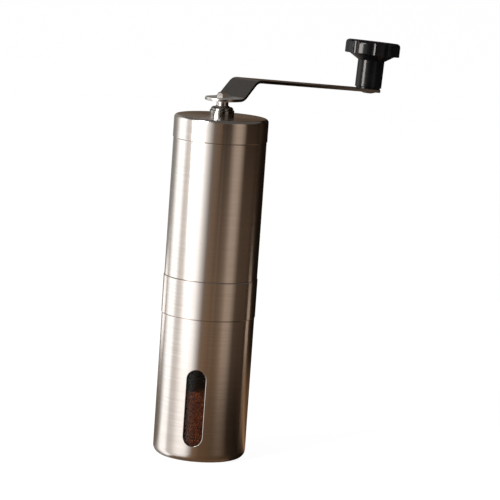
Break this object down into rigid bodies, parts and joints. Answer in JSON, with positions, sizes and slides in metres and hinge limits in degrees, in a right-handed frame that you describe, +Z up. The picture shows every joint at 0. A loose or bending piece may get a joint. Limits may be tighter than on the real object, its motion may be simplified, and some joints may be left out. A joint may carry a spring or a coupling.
{
  "type": "hand crank coffee grinder",
  "caption": "Slim cylindrical steel hand coffee grinder with a windowed grounds cup, conical ceramic burrs, a lift-off lid and a cranked arm with a fluted knob.",
  "frame": {"origin": "middle of the cup's flat underside, on the grinder's axis, where it stands on the table", "axes": "+Z up along the shaft, the cup's window faces -Y, the crank arm points 58 degrees from +X towards +Y at rest"},
  "size_m": [0.1043, 0.1431, 0.2178],
  "materials": {
    "brushed_steel": "brushed round the body, satin",
    "arm_steel": "satin",
    "bright_steel": "turned, bright",
    "polished_boss": "polished",
    "clear_plastic": "clear moulded plastic",
    "black_plastic": "glossy black",
    "inner_plastic": "moulded, matt black",
    "burr_ceramic": "fired, unglazed white",
    "bush_brass": "turned",
    "seal_rubber": "matt black"
  },
  "bodies": {
    "cup": {"cup_shell": "brushed_steel", "cup_window": "clear_plastic"},
    "upper_body": {"middle_band": "brushed_steel", "hopper_tube": "brushed_steel", "burr_carrier": "inner_plastic", "cup_seal": "seal_rubber", "outer_burr": "burr_ceramic", "burr_clamp": "inner_plastic", "clamp_screw_1": "bright_steel", "clamp_screw_2": "bright_steel", "clamp_screw_3": "bright_steel", "shaft_bush": "bush_brass"},
    "drive": {"drive_shaft": "bright_steel", "thrust_washer": "bright_steel", "shaft_clip": "bright_steel", "spring_washer": "bright_steel", "burr_spring": "bright_steel"},
    "burr": {"inner_burr": "burr_ceramic", "burr_hub": "inner_plastic"},
    "dial": {"adjuster_dial": "inner_plastic", "dial_nut": "bush_brass"},
    "lid": {"lid_shell": "brushed_steel", "lid_liner": "inner_plastic", "lid_boss": "polished_boss", "lid_nut": "bright_steel"},
    "crank": {"crank_arm": "arm_steel", "knob_spindle": "bright_steel", "knob_washer": "black_plastic"},
    "knob": {"crank_knob": "black_plastic", "knob_cap": "black_plastic"}
  },
  "joints": [
    {"name": "body_lift", "type": "slide", "parent": "cup", "child": "upper_body", "axis": [0, 0, 1], "range_m": [0, 0.06]},
    {"name": "crank_spin", "type": "hinge", "parent": "upper_body", "child": "drive", "pos_m": [0, 0, 0.0992], "axis": [0, 0, 1], "continuous": true},
    {"name": "burr_travel", "type": "slide", "parent": "drive", "child": "burr", "axis": [0, 0, 1], "range_m": [-0.0015, 0.0005], "deforming": ["burr_spring"]},
    {"name": "adjuster_turn", "type": "hinge", "parent": "burr", "child": "dial", "pos_m": [0, 0, 0.0697], "axis": [0, 0, 1], "range_deg": [-675, 225]},
    {"name": "crank_lift", "type": "slide", "parent": "drive", "child": "crank", "axis": [0, 0, 1], "range_m": [0, 0.06]},
    {"name": "lid_lift", "type": "slide", "parent": "upper_body", "child": "lid", "axis": [0, 0, 1], "range_m": [0, 0.042]},
    {"name": "knob_spin", "type": "hinge", "parent": "crank", "child": "knob", "pos_m": [0.0638, 0.10211, 0.19089], "axis": [0.0393, 0.0628, 0.9973], "continuous": true}
  ],
  "couplings": [
    {"joint": "adjuster_turn", "follows": "burr_travel", "rad_per_m": 7854},
    {"joint": "lid_lift", "follows": "crank_lift", "ratio": 0.7}
  ]
}
